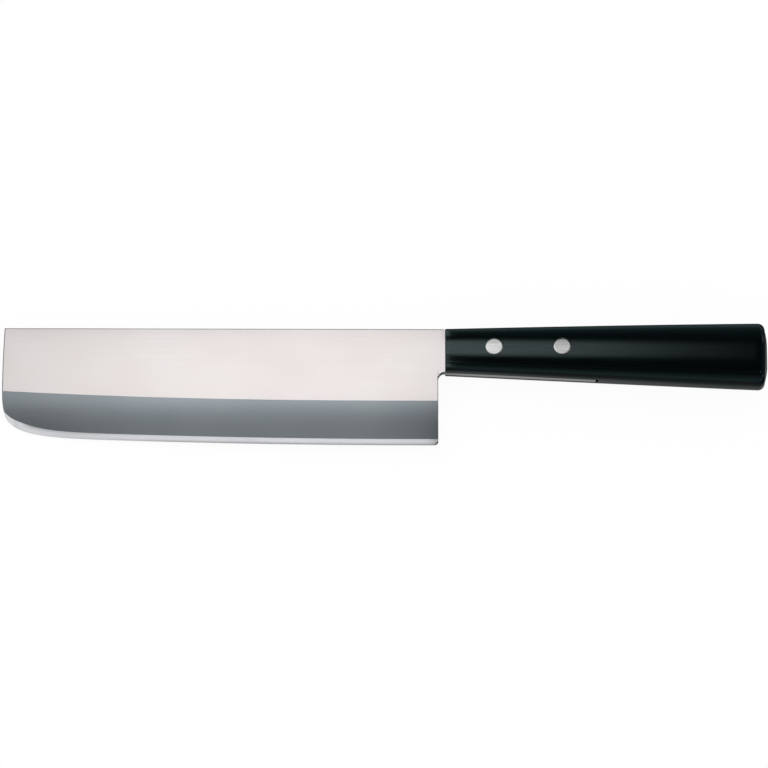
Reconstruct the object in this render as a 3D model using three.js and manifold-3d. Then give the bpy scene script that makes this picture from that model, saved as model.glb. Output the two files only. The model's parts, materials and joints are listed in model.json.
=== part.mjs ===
// A Japanese vegetable knife: a tall, straight-edged blade, whose half tang is riveted into a slotted handle.
// Millimetres. The knife is drawn flat: x runs from the tip to the butt, with x = 0 at the front of the handle,
// y runs up to the spine, with y = 0 where it meets the handle, and z = 0 is the middle of the steel.
// The finished knife is then laid on its side, as it rests on a table.
import * as THREE from "three";
import { mergeVertices } from "three/addons/utils/BufferGeometryUtils.js";
import Module from "manifold-3d";

// Blade outline
const bladeLength = 165; // tip to heel
const bladeThickness = 2.5;
const heelHeight = 45.8; // spine to cutting edge
const spineRise = 0.4; // the spine is higher at the tip by this much
const heelCornerRadius = 1.5;
const neckLength = 2.6; // heel to the front of the handle
const neckHeight = 17.45;
const choilRadius = 2.4; // where the heel turns into the neck
const tipLean = 0.6; // the top of the tip end stands back by this much
const tipStraight = 22; // depth at which the tip end starts to curve back
const tipFullness = 17; // how far the curve of the tip keeps heading down before it turns
const sweepLength = 38; // the last stretch of the edge, which curves up to the tip
const sweepRise = 2.2; // how far the edge has risen where that stretch starts
const sweepFullness = 36.8; // how far the curve of the edge keeps heading for the tip before it turns
const easedEdge = 0.35; // flat on every outer edge that isn't sharpened

// Bevels, alike on both sides
const wideBevelHeight = 17.3; // at the heel, up from the cutting edge
const wideBevelRise = 3.9; // its top line is higher at the tip by this much
const wideBevelCamber = 2.4; // power of the curve that its top line follows
const edgeBevelWidth = 2.3;
const edgeAngle = THREE.MathUtils.degToRad(10); // each side of the straight edge, from the middle
const edgeThickness = 0.12; // flat left at the very edge
const edgeRunOut = 12.6; // height at which the edge bevel has died away round the tip
const edgeFade = 6.5; // height over which it dies away

// Tang
const tangLength = 57;
const tangTopDepth = 4; // top of the tang below the spine
const slotClearance = 0.15; // round the tang, for glue
const slotEndGap = 0.9; // saw run-out behind the tang
const shoulderGap = 0.1; // blade shoulder to the front of the handle

// Handle
const handleLength = 122.1;
const handleFrontThickness = 14;
const handleButtThickness = 17.5;
const handleTopStep = 0.5; // its front stands this far below the spine
const handleTopRise = 2.15; // rise of its top line towards the butt
const handleBellyStep = 0.05; // its front stands this far below the neck
const handleBellyDrop = 5.85; // drop of its belly line towards the butt
const topLinePower = 1.35; // how soon each line levels out towards the butt
const bellyLinePower = 1.05;
const sideCrownFront = 4; // powers of the rounded section: a lower one is rounder
const sideCrownButt = 2.6;
const bellyFlatness = 3.2;
const frontChamfer = 0.4;
const buttRadius = 2.6; // rounding of the butt's rim
const buttDome = 0.95; // bulge of the butt's end

// Rivets, each a solid half and a tubular half
const rivetHeadRadius = 3.35;
const frontRivetSetback = 18.6; // behind the front of the handle
const rearRivetSetback = 12.7; // ahead of the end of the tang
const rivetDepth = 8.8; // centres below the spine
const rivetSeat = 4.4; // underside of each head from the middle of the steel
const tubeRadius = 2.2;
const pinRadius = 1.4;
const rivetClearance = 0.1; // round heads and shanks
const pinEndGap = 0.6; // pin end to tube bottom, and tube end to head
const tubeFloor = 0.5; // thickness left between the tube's bore and its head
const pinTaper = 0.4; // lead-in on the pin's end

// How it lies: on the tip and the front of the handle, leaning a little towards its edge
const restPitch = THREE.MathUtils.degToRad(-1.67);
const restRoll = THREE.MathUtils.degToRad(3.5);

// Smoothness
const curveSteps = 16;
const bevelSteps = 14;
const sectionPoints = 56;
const handleSteps = 10;
const rimSteps = 6;
const roundSteps = 40;
const cornerSteps = 6;
const tipSteps = 5;
const domeShares = [0.4, 0.8]; // rings of the butt's dome, as shares of the way in to its middle
const weldDistance = 1e-5; // points nearer than this are one point
const cutMargin = 2; // how far a cutting body runs past what it cuts

const heelX = -neckLength;
const tipX = heelX - bladeLength;
const handleTopFront = -handleTopStep;
const handleBellyFront = -neckHeight - handleBellyStep;
const rivetPlaces = { front: frontRivetSetback, rear: tangLength - rearRivetSetback };
const halfSteel = bladeThickness / 2;
const shoulderHalf = edgeThickness / 2 + edgeBevelWidth * Math.tan(edgeAngle);
const wideBevelSlope = (halfSteel - shoulderHalf) / (wideBevelHeight - edgeBevelWidth);

const wasm = await Module();
wasm.setup();

function solid(geometry) {
  const bare = geometry.index ? geometry.toNonIndexed() : geometry.clone();
  bare.deleteAttribute("normal");
  bare.deleteAttribute("uv");
  const merged = mergeVertices(bare, weldDistance);
  return new wasm.Manifold(
    new wasm.Mesh({
      numProp: 3,
      vertProperties: merged.attributes.position.array,
      triVerts: new Uint32Array(merged.index.array),
    }),
  );
}

function geometryOf(body) {
  const mesh = body.getMesh();
  const geometry = new THREE.BufferGeometry();
  geometry.setAttribute("position", new THREE.BufferAttribute(mesh.vertProperties, 3));
  geometry.setIndex(new THREE.BufferAttribute(mesh.triVerts, 1));
  geometry.computeVertexNormals();
  return geometry;
}

// A closed body through rings of points, with flat ends.
// A ring turns by the right hand about the way the rings go.
function loft(rings) {
  const count = rings[0].length;
  const faces = [];
  for (let ring = 0; ring + 1 < rings.length; ring++) {
    for (let i = 0; i < count; i++) {
      const a = ring * count + i;
      const b = ring * count + ((i + 1) % count);
      faces.push(a, b, b + count, a, b + count, a + count);
    }
  }
  const last = (rings.length - 1) * count;
  for (let i = 1; i + 1 < count; i++) {
    faces.push(0, i + 1, i);
    faces.push(last, last + i, last + i + 1);
  }
  const geometry = new THREE.BufferGeometry().setFromPoints(rings.flat());
  geometry.setIndex(faces);
  return geometry;
}

function mirrored(rings) {
  return rings.map((ring) => ring.map((p) => new THREE.Vector3(p.x, p.y, -p.z)).reverse());
}

// Handle lines

function levellingOut(share, power) {
  return 1 - (1 - THREE.MathUtils.clamp(share, 0, 1)) ** power;
}

function handleTop(x) {
  return handleTopFront + handleTopRise * levellingOut(x / handleLength, topLinePower);
}

function handleBelly(x) {
  return handleBellyFront - handleBellyDrop * levellingOut(x / handleLength, bellyLinePower);
}

function handleHalfThickness(x) {
  return THREE.MathUtils.lerp(handleFrontThickness, handleButtThickness, x / handleLength) / 2;
}

// One rounded section of the handle, shrunk all round by inset.
function handleSection(x, inset, atX = x) {
  const middle = (handleTop(x) + handleBelly(x)) / 2;
  const halfHeight = (handleTop(x) - handleBelly(x)) / 2 - inset;
  const halfThickness = handleHalfThickness(x) - inset;
  const sideCrown = THREE.MathUtils.lerp(sideCrownFront, sideCrownButt, x / handleLength);
  const ring = [];
  for (let i = 0; i < sectionPoints; i++) {
    const angle = (2 * Math.PI * i) / sectionPoints;
    const up = Math.cos(angle);
    const out = Math.sin(angle);
    ring.push(
      new THREE.Vector3(
        atX,
        middle + halfHeight * Math.sign(up) * Math.abs(up) ** (2 / sideCrown),
        halfThickness * Math.sign(out) * Math.abs(out) ** (2 / bellyFlatness),
      ),
    );
  }
  return ring;
}

function handleOutside() {
  const rimStart = handleLength - buttDome - buttRadius;
  const rings = [handleSection(0, frontChamfer)];
  for (let i = 0; i <= handleSteps; i++) {
    rings.push(handleSection(THREE.MathUtils.lerp(frontChamfer, rimStart, i / handleSteps), 0));
  }
  for (let i = 1; i <= rimSteps; i++) {
    const turn = (Math.PI / 2) * (i / rimSteps);
    rings.push(handleSection(rimStart + buttRadius * Math.sin(turn), buttRadius * (1 - Math.cos(turn))));
  }
  const rimEnd = rimStart + buttRadius;
  const halfLeft = handleHalfThickness(rimEnd) - buttRadius;
  for (const share of domeShares) {
    const bulge = buttDome * (1 - (1 - share) ** 2);
    rings.push(handleSection(rimEnd, buttRadius + halfLeft * share, rimEnd + bulge));
  }
  return solid(loft(rings));
}

// Blade

// Depth of the line between the flat and the wide bevel.
function flatDepth(x) {
  const share = THREE.MathUtils.clamp((heelX - x) / bladeLength, 0, 1);
  return heelHeight - wideBevelHeight - wideBevelRise * share ** wideBevelCamber;
}

function wideBevelHalfThickness(x, y) {
  return halfSteel - Math.max(0, -y - flatDepth(x)) * wideBevelSlope;
}

function edgeCurves() {
  const sweepStart = new THREE.Vector2(tipX + sweepLength, sweepRise - heelHeight);
  const edgeEnd = new THREE.Vector2(heelX - heelCornerRadius, -heelHeight);
  const edgeMiddle = new THREE.Vector2((sweepStart.x + edgeEnd.x) / 2, -heelHeight);
  const towardsTip = sweepStart.clone().sub(edgeMiddle).setLength(sweepFullness).add(sweepStart);
  const sweep = new THREE.CubicBezierCurve(
    new THREE.Vector2(tipX, -tipStraight),
    new THREE.Vector2(tipX, -tipStraight - tipFullness),
    towardsTip,
    sweepStart,
  );
  return [sweep, new THREE.QuadraticBezierCurve(sweepStart, edgeMiddle, edgeEnd)];
}

function arcPoints(x, y, radius, from, to, clockwise) {
  return new THREE.EllipseCurve(x, y, radius, radius, from, to, clockwise).getPoints(cornerSteps);
}

function bladeOutline() {
  const shoulderX = -shoulderGap;
  const tipEnd = new THREE.QuadraticBezierCurve(
    new THREE.Vector2(tipX + tipLean, spineRise),
    new THREE.Vector2(tipX, -tipStraight / 2),
    new THREE.Vector2(tipX, -tipStraight),
  );
  const [sweep, edge] = edgeCurves();
  const points = tipEnd.getPoints(tipSteps);
  points.push(...sweep.getPoints(curveSteps).slice(1));
  points.push(...edge.getPoints(curveSteps).slice(1));
  const heelY = heelCornerRadius - heelHeight;
  const choilY = -neckHeight - choilRadius;
  points.push(...arcPoints(heelX - heelCornerRadius, heelY, heelCornerRadius, -Math.PI / 2, 0, false).slice(1));
  points.push(...arcPoints(heelX + choilRadius, choilY, choilRadius, Math.PI, Math.PI / 2, true));
  for (let i = 0; i <= handleSteps; i++) {
    const x = tangLength * (i / handleSteps);
    points.push(new THREE.Vector2(x, handleBelly(x)));
  }
  points.push(new THREE.Vector2(tangLength, -tangTopDepth));
  points.push(new THREE.Vector2(shoulderX, -tangTopDepth));
  points.push(new THREE.Vector2(shoulderX, 0));
  return new THREE.Shape(points);
}

function wideBevelRings() {
  const deepest = heelHeight + cutMargin;
  const rings = [];
  for (let i = 0; i <= bevelSteps; i++) {
    const x = THREE.MathUtils.lerp(tipX - cutMargin, heelX + cutMargin, i / bevelSteps);
    const above = flatDepth(x) - cutMargin;
    rings.push([
      new THREE.Vector3(x, -deepest, halfSteel - (deepest - flatDepth(x)) * wideBevelSlope),
      new THREE.Vector3(x, -above, halfSteel + cutMargin * wideBevelSlope),
      new THREE.Vector3(x, -above, halfSteel + cutMargin),
      new THREE.Vector3(x, -deepest, halfSteel + cutMargin),
    ]);
  }
  return rings;
}

// The edge bevel is steeper round the tip, where the steel behind it is thicker.
function edgeBevelRing(point, along) {
  const inward = new THREE.Vector2(-along.y, along.x).normalize();
  const height = heelHeight + point.y;
  const share = 1 - THREE.MathUtils.smoothstep(height, edgeRunOut - edgeFade, edgeRunOut);
  const width = edgeBevelWidth * share;
  const halfAt = (distance) =>
    wideBevelHalfThickness(point.x + inward.x * distance, point.y + inward.y * distance);
  const slope = (halfAt(edgeBevelWidth) - edgeThickness / 2) / edgeBevelWidth;
  const lift = edgeThickness * (1 - share);
  const atEdge = halfAt(width) - width * slope + lift;
  const inner = edgeBevelWidth + cutMargin;
  const corner = (distance, z) =>
    new THREE.Vector3(point.x + inward.x * distance, point.y + inward.y * distance, z);
  return [
    corner(-cutMargin, atEdge - cutMargin * slope),
    corner(inner, atEdge + inner * slope),
    corner(inner, halfSteel + cutMargin),
    corner(-cutMargin, halfSteel + cutMargin),
  ];
}

function edgeBevelRings() {
  const [sweep, edge] = edgeCurves();
  const rings = [];
  for (const curve of [sweep, edge]) {
    for (let i = curve === sweep ? 0 : 1; i <= curveSteps; i++) {
      rings.push(edgeBevelRing(curve.getPoint(i / curveSteps), curve.getTangent(i / curveSteps)));
    }
  }
  const pastHeel = new THREE.Vector2(heelX + cutMargin, -heelHeight);
  rings.push(edgeBevelRing(pastHeel, new THREE.Vector2(1, 0)));
  return rings;
}

function makeBlade() {
  const slab = new THREE.ExtrudeGeometry(bladeOutline(), {
    depth: bladeThickness - 2 * easedEdge,
    bevelThickness: easedEdge,
    bevelSize: easedEdge,
    bevelOffset: -easedEdge,
    bevelSegments: 1,
  }).translate(0, 0, easedEdge - halfSteel);
  let body = solid(slab);
  for (const rings of [wideBevelRings(), edgeBevelRings()]) {
    body = body.subtract(solid(loft(rings))).subtract(solid(loft(mirrored(rings))));
  }
  for (const x of Object.values(rivetPlaces)) {
    const past = halfSteel + cutMargin;
    body = body.subtract(solid(rod(x, tubeRadius + rivetClearance, -past, past)));
  }
  return body;
}

// A round rod across the knife at a rivet's place.
function rod(x, radius, fromZ, toZ) {
  return new THREE.CylinderGeometry(radius, radius, toZ - fromZ, roundSteps)
    .rotateX(Math.PI / 2)
    .translate(x, -rivetDepth, (fromZ + toZ) / 2);
}

function makeHandle(outside) {
  const slotHalf = halfSteel + slotClearance;
  const slotEnd = tangLength + slotEndGap;
  const slotTop = -tangTopDepth + slotClearance;
  const slotBottom = handleBelly(handleLength) - cutMargin;
  const slot = new THREE.BoxGeometry(slotEnd + cutMargin, slotTop - slotBottom, 2 * slotHalf).translate(
    (slotEnd - cutMargin) / 2,
    (slotTop + slotBottom) / 2,
    0,
  );
  let body = outside.subtract(solid(slot));
  const past = handleButtThickness / 2 + cutMargin;
  for (const x of Object.values(rivetPlaces)) {
    body = body.subtract(solid(rod(x, tubeRadius + rivetClearance, -past, past)));
    body = body.subtract(solid(rod(x, rivetHeadRadius + rivetClearance, rivetSeat - rivetClearance, past)));
    body = body.subtract(solid(rod(x, rivetHeadRadius + rivetClearance, -past, -rivetSeat + rivetClearance)));
  }
  return body;
}

// A turned rivet half at x, ground flush with the handle.
// Its profile is given from the end of the shank to the head.
function turned(x, profile, outside, side) {
  const body = new THREE.LatheGeometry(profile, roundSteps)
    .rotateX((Math.PI / 2) * side)
    .translate(x, -rivetDepth, 0);
  return solid(body).intersect(outside);
}

function makePinHalf(x, outside) {
  const past = handleButtThickness / 2 + cutMargin;
  const end = -rivetSeat + pinEndGap;
  const profile = [
    new THREE.Vector2(0, end),
    new THREE.Vector2(pinRadius - pinTaper, end),
    new THREE.Vector2(pinRadius, end + pinTaper),
    new THREE.Vector2(pinRadius, rivetSeat),
    new THREE.Vector2(rivetHeadRadius, rivetSeat),
    new THREE.Vector2(rivetHeadRadius, past),
    new THREE.Vector2(0, past),
  ];
  return turned(x, profile, outside, 1);
}

function makeTubeHalf(x, outside) {
  const past = handleButtThickness / 2 + cutMargin;
  const end = -rivetSeat + pinEndGap;
  const bore = pinRadius + rivetClearance;
  const profile = [
    new THREE.Vector2(0, rivetSeat - tubeFloor + pinEndGap),
    new THREE.Vector2(bore, rivetSeat - tubeFloor + pinEndGap),
    new THREE.Vector2(bore, end),
    new THREE.Vector2(tubeRadius, end),
    new THREE.Vector2(tubeRadius, rivetSeat),
    new THREE.Vector2(rivetHeadRadius, rivetSeat),
    new THREE.Vector2(rivetHeadRadius, past),
    new THREE.Vector2(0, past),
  ];
  return turned(x, profile, outside, -1);
}

// Finishes

const satinSteel = new THREE.MeshStandardMaterial({ color: 0xd9d4d3, roughness: 0.25, metalness: 1 });
const blackWood = new THREE.MeshStandardMaterial({ color: 0x0c1313, roughness: 0.35, metalness: 0 });
const rivetSteel = new THREE.MeshStandardMaterial({ color: 0xc4c5c6, roughness: 0.3, metalness: 1 });

function named(name, body, material) {
  const mesh = new THREE.Mesh(geometryOf(body), material);
  mesh.name = name;
  return mesh;
}

const outside = handleOutside();
const knife = new THREE.Group();
knife.add(named("blade", makeBlade(), satinSteel));
knife.add(named("handle", makeHandle(outside), blackWood));
for (const [place, x] of Object.entries(rivetPlaces)) {
  knife.add(named(`rivet_${place}_male`, makePinHalf(x, outside), rivetSteel));
  knife.add(named(`rivet_${place}_female`, makeTubeHalf(x, outside), rivetSteel));
}
knife.rotation.set(restRoll, restPitch, 0);

// The origin is on the table, under the middle of the knife.
const box = new THREE.Box3().setFromObject(knife, true);
const middle = box.getCenter(new THREE.Vector3());
knife.position.set(-middle.x, -middle.y, -box.min.z);

const part = new THREE.Group();
part.add(knife);

export default part;
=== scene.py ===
# %% [markdown]
# # A vegetable knife
# This knife is a nakiri: a tall blade with a straight edge for chopping vegetables, whose short tang is
# glued and riveted into a black handle. It lies on its side on a white table. The sizes and the place of
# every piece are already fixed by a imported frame, so this lesson only makes finer meshes that stand where
# the plain solids stand, and gives them their finishes. The first step loads that frame and keeps the size
# of its box.

# %% Load the frame
import json
import math

import bmesh
import bpy
import numpy as np
from mathutils import Matrix, Vector


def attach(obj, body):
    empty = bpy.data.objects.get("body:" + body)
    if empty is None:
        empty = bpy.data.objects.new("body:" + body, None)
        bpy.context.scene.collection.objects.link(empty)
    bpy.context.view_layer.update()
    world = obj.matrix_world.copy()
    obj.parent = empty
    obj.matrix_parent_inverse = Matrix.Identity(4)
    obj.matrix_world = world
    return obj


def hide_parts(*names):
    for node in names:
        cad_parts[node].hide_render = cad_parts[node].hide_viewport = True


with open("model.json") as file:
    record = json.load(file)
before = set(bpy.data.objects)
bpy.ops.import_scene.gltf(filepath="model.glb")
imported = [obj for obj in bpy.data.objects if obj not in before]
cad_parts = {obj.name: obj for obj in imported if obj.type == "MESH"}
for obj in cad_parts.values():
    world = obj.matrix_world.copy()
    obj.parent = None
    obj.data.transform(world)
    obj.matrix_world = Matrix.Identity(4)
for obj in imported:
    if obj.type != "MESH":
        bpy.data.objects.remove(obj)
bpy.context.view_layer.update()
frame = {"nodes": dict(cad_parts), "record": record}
MM = 0.001
print("pieces in the frame:", ", ".join(sorted(frame["nodes"])))

# %% [markdown]
# ## The knife's own axes
# A knife on a table doesn't lie level: it rests on its tip and on the handle, so the blade leans a few
# degrees. It is far easier to draw it level, in millimetres, with x along the spine, y up to the spine and
# z out of the blade's face, and to lay the drawing down at the end. The lean can be read from the frame:
# the record gives the direction that the blade's face looks in, and the nodes show where the spine and the
# front of the handle are. The spine rises by a hair towards the tip, so it starts that much below the
# blade's highest point.

# %% Find how the knife lies
SPINE_RISE = 0.4
mounts = {mount["name"]: mount for mount in frame["record"]["mounts"]}
face_looks = Vector(mounts["blade_side_up"]["axis"]).normalized()
pitch = math.asin(face_looks.x)
roll = math.atan2(-face_looks.y, face_looks.z)
turn = Matrix.Rotation(roll, 4, "X") @ Matrix.Rotation(pitch, 4, "Y")


def levelled(node):
    """Lowest and highest corner of a node of the frame, measured along the knife's own axes."""
    points = np.array([turn.transposed() @ v.co for v in frame["nodes"][node].data.vertices])
    return points.min(0), points.max(0)


blade_low, blade_high = levelled("blade")
handle_front = levelled("handle")[0][0]
spine_start = blade_high[1] - SPINE_RISE * MM
knife_origin = Vector((handle_front, spine_start, (blade_low[2] + blade_high[2]) / 2))
laid_down = turn @ Matrix.Translation(knife_origin)
print(f"the knife leans {math.degrees(roll):.2f} degrees and dips {-math.degrees(pitch):.2f} at the tip")

# %% [markdown]
# ## The camera
# The photograph was taken from above and a little in front of the edge, with a long lens, so that the lines
# along the knife stay parallel. A camera two and a half metres away does the same. It is set on the knife's
# own axes, because a photographer squares the camera up to the blade and not to the table. Its lens is
# worked out from the width that the picture covers at the knife, which is how one sets up a product shot:
# first the distance, then the framing.

# %% Set the camera
PICTURE_WIDTH = 290.72 * MM
VIEW_DISTANCE = 2.5
VIEW_TILT = math.radians(17.76)
VIEW_AIM = Vector((-23.11, -21.51, 0)) * MM

scene = bpy.context.scene
scene.view_settings.view_transform = "Standard"
camera_data = bpy.data.cameras.new("long lens")
camera_data.lens = camera_data.sensor_width * VIEW_DISTANCE / PICTURE_WIDTH
camera = bpy.data.objects.new("camera", camera_data)
scene.collection.objects.link(camera)
tilted = Matrix.Rotation(VIEW_TILT, 4, "X")
stood_back = Matrix.Translation((0, 0, VIEW_DISTANCE))
camera.matrix_world = laid_down @ Matrix.Translation(VIEW_AIM) @ tilted @ stood_back
scene.camera = camera
print(f"lens {camera_data.lens:.0f} mm")

# %% [markdown]
# ## Three small tools for materials
# Every finish below is a node tree. One function turns a colour as a screen shows it into the linear light
# that a shader works in. Another adds a node, sets its properties and either sets or links its inputs, so
# that a material reads as a short list of what feeds what. The third empties a tree to start with.

# %% Colours and nodes
def linear(hex_colour):
    """An sRGB colour such as "8c8c8c" as linear red, green, blue and an alpha of 1."""
    parts = [int(hex_colour[i : i + 2], 16) / 255 for i in (0, 2, 4)]
    return (*(c / 12.92 if c <= 0.04045 else ((c + 0.055) / 1.055) ** 2.4 for c in parts), 1)


def add_node(tree, kind, settings=None, inputs=None, stops=None):
    """A new node with its settings, its inputs (values, or sockets to link) and the stops of its ramp."""
    node = tree.nodes.new("ShaderNode" + kind)
    for name, value in (settings or {}).items():
        setattr(node, name, value)
    for name, value in (inputs or {}).items():
        if isinstance(value, bpy.types.NodeSocket):
            tree.links.new(value, node.inputs[name])
        else:
            node.inputs[name].default_value = value
    for i, (place, colour) in enumerate(stops or ()):
        elements = node.color_ramp.elements
        element = elements[i] if i < 2 else elements.new(place)
        element.position = place
        element.color = colour
    return node


def empty_tree(owner):
    """The node tree of a material or world, with nothing in it yet."""
    owner.use_nodes = True
    owner.node_tree.nodes.clear()
    return owner.node_tree


print("mid grey is", round(linear("808080")[0], 3), "in linear light")

# %% [markdown]
# ## The light tent
# Polished steel has almost no colour of its own: it shows whatever stands where it reflects. In a product
# shot that is planned. Here the light comes from a dome that is bright in front, behind and at both ends.
# Overhead it is dim, because the glossy black handle looks up there and has to stay black. The blade looks
# up too, so the next steps hang lights for it in that dim part. One ramp draws the levels from front to
# back, a second one from the tip to the butt, and the brighter one counts. Lamps alone would light the
# knife as well, but would leave black gaps in its steel.

# %% Draw the dome
# Degrees from straight up, with the front negative, and the level there.
BAND_LEVELS = [
    (-90, 0.65),
    (-46, 0.65),
    (-34, 0.03),
    (-24, 0.01),
    (12, 0.01),
    (26, 0.02),
    (38, 0.65),
    (90, 0.65),
]
# How far a direction points to the tip (-1) or to the butt (1), and the level there.
SIDE_LEVELS = [(-1.0, 0.7), (-0.65, 0.7), (-0.3, 0.0), (0.3, 0.0), (0.65, 0.7), (1.0, 0.7)]


def level_over(tree, value, places):
    """A level that runs through these (place, level) pairs as the value grows."""
    low, high = places[0][0], places[-1][0]
    span = {"Value": value, "From Min": low, "From Max": high}
    share = add_node(tree, "MapRange", inputs=span).outputs[0]
    stops = [((place - low) / (high - low), (level, level, level, 1)) for place, level in places]
    return add_node(tree, "ValToRGB", inputs={"Fac": share}, stops=stops).outputs["Color"]


world = bpy.data.worlds.new("light tent")
scene.world = world
tree = empty_tree(world)
sky = add_node(tree, "TexCoord").outputs["Generated"]
axes = add_node(tree, "SeparateXYZ", inputs={"Vector": sky}).outputs
lean = add_node(tree, "Math", {"operation": "ARCTAN2"}, {0: axes["Y"], 1: axes["Z"]}).outputs[0]
lean = add_node(tree, "Math", {"operation": "DEGREES"}, {0: lean}).outputs[0]
band = level_over(tree, lean, BAND_LEVELS)
sides = level_over(tree, axes["X"], SIDE_LEVELS)
dome = add_node(tree, "Math", {"operation": "MAXIMUM"}, {0: band, 1: sides}).outputs[0]
background = add_node(tree, "Background", inputs={"Color": dome})
add_node(tree, "OutputWorld", inputs={"Surface": background.outputs[0]})
print("dome levels from front to back:", BAND_LEVELS, "and from tip to butt:", SIDE_LEVELS)

# %% [markdown]
# ## The strip light
# The bright flat of the blade and the soft band along the handle are one and the same thing: the reflection
# of a long softbox that hangs behind the knife. Its light dies away slowly to the front and quickly to the
# back, and it ends over the rear of the handle. A glowing card gives that control: its strength is a ramp
# across it times a ramp along it. It is hidden from the camera, as a softbox is kept out of the picture,
# and it is somewhat brighter than white paper, because the steel gives back only a part of it.

# %% Hang the strip light
STRIP_HEIGHT = 0.9
STRIP_LEVEL = 1.38
STRIP_ALONG = [
    (-0.62, 0.4),
    (-0.3, 0.62),
    (-0.21, 0.84),
    (-0.144, 0.96),
    (-0.1, 1.0),
    (-0.025, 1.0),
    (0.0, 0.97),
    (0.031, 0.8),
    (0.062, 0.52),
    (0.085, 0.3),
    (0.097, 0.13),
    (0.107, 0.03),
    (0.113, 0.0),
]
STRIP_ACROSS = [
    (0.07, 0.0),
    (0.113, 0.1),
    (0.146, 0.34),
    (0.172, 0.55),
    (0.193, 0.66),
    (0.215, 0.81),
    (0.235, 0.94),
    (0.25, 1.0),
    (0.262, 1.0),
    (0.272, 0.8),
    (0.282, 0.45),
    (0.295, 0.25),
    (0.32, 0.13),
    (0.36, 0.07),
    (0.42, 0.0),
]


def stage_sheet(name, corners, material):
    """A sheet with four corners that belongs to the studio and not to the knife."""
    mesh = bpy.data.meshes.new(name)
    mesh.from_pydata(corners, [], [(0, 1, 2, 3)])
    mesh.materials.append(material)
    sheet = bpy.data.objects.new(name, mesh)
    scene.collection.objects.link(sheet)
    return sheet


def level_corners(x0, x1, y0, y1, z):
    """The four corners of a level sheet at height z."""
    return [(x0, y0, z), (x1, y0, z), (x1, y1, z), (x0, y1, z)]


def hang_card(name, height, strength, along, across):
    """A glowing card over the knife. Along and across list its levels at places in x and y, in metres."""
    material = bpy.data.materials.new(name + " cloth")
    tree = empty_tree(material)
    spot = add_node(tree, "NewGeometry").outputs["Position"]
    axes = add_node(tree, "SeparateXYZ", inputs={"Vector": spot}).outputs
    level = strength
    for axis, places in (("X", along), ("Y", across)):
        shade = level_over(tree, axes[axis], places)
        level = add_node(tree, "Math", {"operation": "MULTIPLY"}, {0: shade, 1: level}).outputs[0]
    glow = add_node(tree, "Emission", inputs={"Strength": level}).outputs[0]
    add_node(tree, "OutputMaterial", inputs={"Surface": glow})
    corners = level_corners(along[0][0], along[-1][0], across[0][0], across[-1][0], height)
    card = stage_sheet(name, corners, material)
    card.visible_camera = False
    print("hung the", name, "at", height, "m")


hang_card("strip light", STRIP_HEIGHT, STRIP_LEVEL, STRIP_ALONG, STRIP_ACROSS)

# %% [markdown]
# ## The cards over the edge
# The ground bevel and the honed edge tilt further to the front than the flat, so they miss the bright part
# of the strip light. Two small cards hang close over the blade, where these two look. The edge card keeps
# the honed strip bright. The bevel card, just behind it, makes the bevel grey, and lighter towards the
# flat. Both end at the heel, so the handle stays dark. Round the tip the edge looks further out, so a third
# card hangs there.

# %% Hang the edge cards
EDGE_HEIGHT, TIP_HEIGHT = 0.1, 0.6
EDGE_LEVEL, BEVEL_LEVEL, TIP_LEVEL = 0.91, 1.0, 0.84
EDGE_ALONG = [
    (-0.2, 0.8),
    (-0.148, 0.92),
    (-0.132, 0.86),
    (-0.097, 1.0),
    (0.0, 1.0),
    (0.0175, 0.95),
    (0.0183, 0.0),
]
EDGE_ACROSS = [(-0.0397, 0.0), (-0.0377, 1.0), (-0.0267, 1.0), (-0.0233, 0.5), (-0.0215, 0.3)]
BEVEL_ALONG = [
    (-0.2, 0.5),
    (-0.152, 0.55),
    (-0.135, 0.65),
    (-0.097, 1.0),
    (-0.01, 1.0),
    (0.0175, 0.8),
    (0.0183, 0.0),
]
BEVEL_ACROSS = [
    (-0.0215, 0.37),
    (-0.018, 0.36),
    (-0.0034, 0.325),
    (0.0041, 0.44),
    (0.0117, 0.93),
    (0.0135, 0.93),
    (0.0148, 0.0),
]
TIP_ALONG = [(-1.0, 1.0), (-0.2, 1.0), (-0.15, 0.0)]
TIP_ACROSS = [(-0.4, 1.0), (-0.02, 1.0), (0.06, 0.0)]

hang_card("edge card", EDGE_HEIGHT, EDGE_LEVEL, EDGE_ALONG, EDGE_ACROSS)
hang_card("bevel card", EDGE_HEIGHT, BEVEL_LEVEL, BEVEL_ALONG, BEVEL_ACROSS)
hang_card("tip card", TIP_HEIGHT, TIP_LEVEL, TIP_ALONG, TIP_ACROSS)

# %% [markdown]
# ## The flags round the handle
# A glossy black handle in a bright tent turns grey along its edges. Photographers stand small dark cards,
# called flags, beside it, so that its edges mirror them and stay dark. Three do here: in front of the
# handle, behind it and beyond its butt. They aren't quite black: each has a faint cool glow at its foot that
# fades to nothing at its top, which draws the soft lines along the handle's edges. They are seen by mirrors
# only, so they throw no shadow on the table.

# %% Lean the flags
FLAG_COLOUR = "d4f5fa"
# Heights in metres and the level there.
FRONT_LEVELS = [(0.0, 0.2), (0.018, 0.2), (0.035, 0.0)]
BACK_LEVELS = [(0.0, 0.32), (0.018, 0.28), (0.029, 0.11), (0.036, 0.06), (0.05, 0.0)]
BUTT_LEVELS = [(0.0, 0.06), (0.025, 0.06), (0.05, 0.0)]
FLAG_START, FLAG_END = 0.0225, 0.152
FLAG_REACH = 0.04
FRONT_FLAG, BACK_FLAG = -0.01, 0.028


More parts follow.
